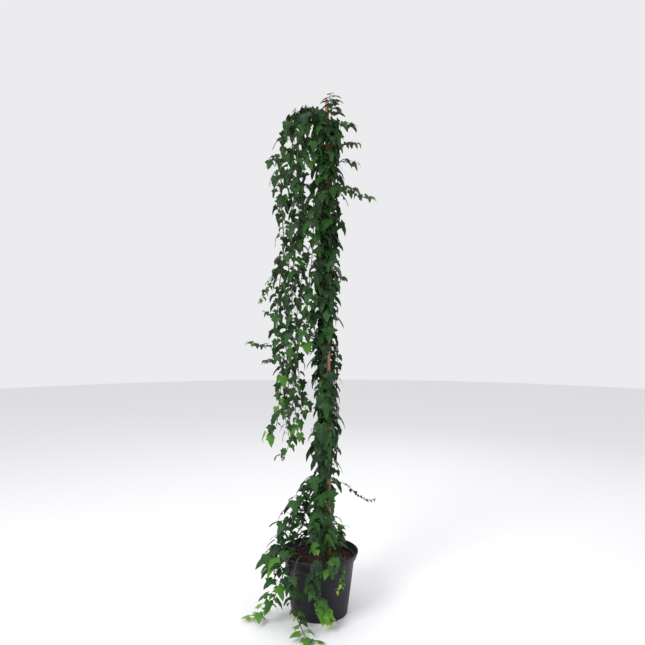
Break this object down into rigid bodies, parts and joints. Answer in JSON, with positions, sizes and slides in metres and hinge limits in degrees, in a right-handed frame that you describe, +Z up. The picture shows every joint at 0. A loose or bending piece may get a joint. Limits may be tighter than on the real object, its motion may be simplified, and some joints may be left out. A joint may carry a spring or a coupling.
{
  "type": "potted ivy",
  "caption": "Climbing ivy in a black nursery pot, tied up a bamboo cane, with shoots that hang from its top and trail over the rim.",
  "frame": {"origin": "centre of the pot's flat underside, where it stands on the floor", "axes": "+Z up along the cane, +X to the right and +Y away from the viewer, with the hanging shoots on the -X side"},
  "size_m": [0.4876, 0.5282, 1.8562],
  "materials": {
    "pot": "black moulded nursery plastic, matt with a slight sheen",
    "soil": "dark crumbly peat compost",
    "bamboo": "dry tan bamboo, satin",
    "tie": "pale soft garden twine",
    "leaves": "dark green evergreen leaf, semi-gloss, paler veins"
  },
  "bodies": {
    "root": {"pot": "pot", "soil": "soil", "bamboo_cane": "bamboo", "tie_1": "tie", "tie_2": "tie", "tie_3": "tie", "tie_4": "tie", "tie_5": "tie", "climbing_stem_1": "leaves", "climbing_stem_2": "leaves", "climbing_stem_3": "leaves", "climbing_stem_4": "leaves", "climbing_stem_5": "leaves", "hanging_shoot_1": "leaves", "hanging_shoot_2": "leaves", "hanging_shoot_3": "leaves", "hanging_shoot_4": "leaves", "hanging_shoot_5": "leaves", "hanging_shoot_6": "leaves", "crown_shoot": "leaves", "left_shoot_1": "leaves", "left_shoot_2": "leaves", "left_shoot_3": "leaves", "left_shoot_4": "leaves", "left_shoot_5": "leaves", "right_shoot_1": "leaves", "right_shoot_2": "leaves", "right_shoot_3": "leaves", "right_shoot_4": "leaves", "right_shoot_5": "leaves", "right_shoot_6": "leaves", "right_shoot_7": "leaves", "base_shoot_1": "leaves", "base_shoot_2": "leaves", "base_shoot_3": "leaves", "base_shoot_4": "leaves", "base_shoot_5": "leaves", "base_shoot_6": "leaves", "base_shoot_7": "leaves", "trailing_shoot_1": "leaves", "trailing_shoot_2": "leaves", "trailing_shoot_3": "leaves", "trailing_shoot_4": "leaves", "trailing_shoot_5": "leaves", "trailing_shoot_6": "leaves", "trailing_shoot_7": "leaves", "trailing_shoot_8": "leaves"}
  },
  "joints": []
}
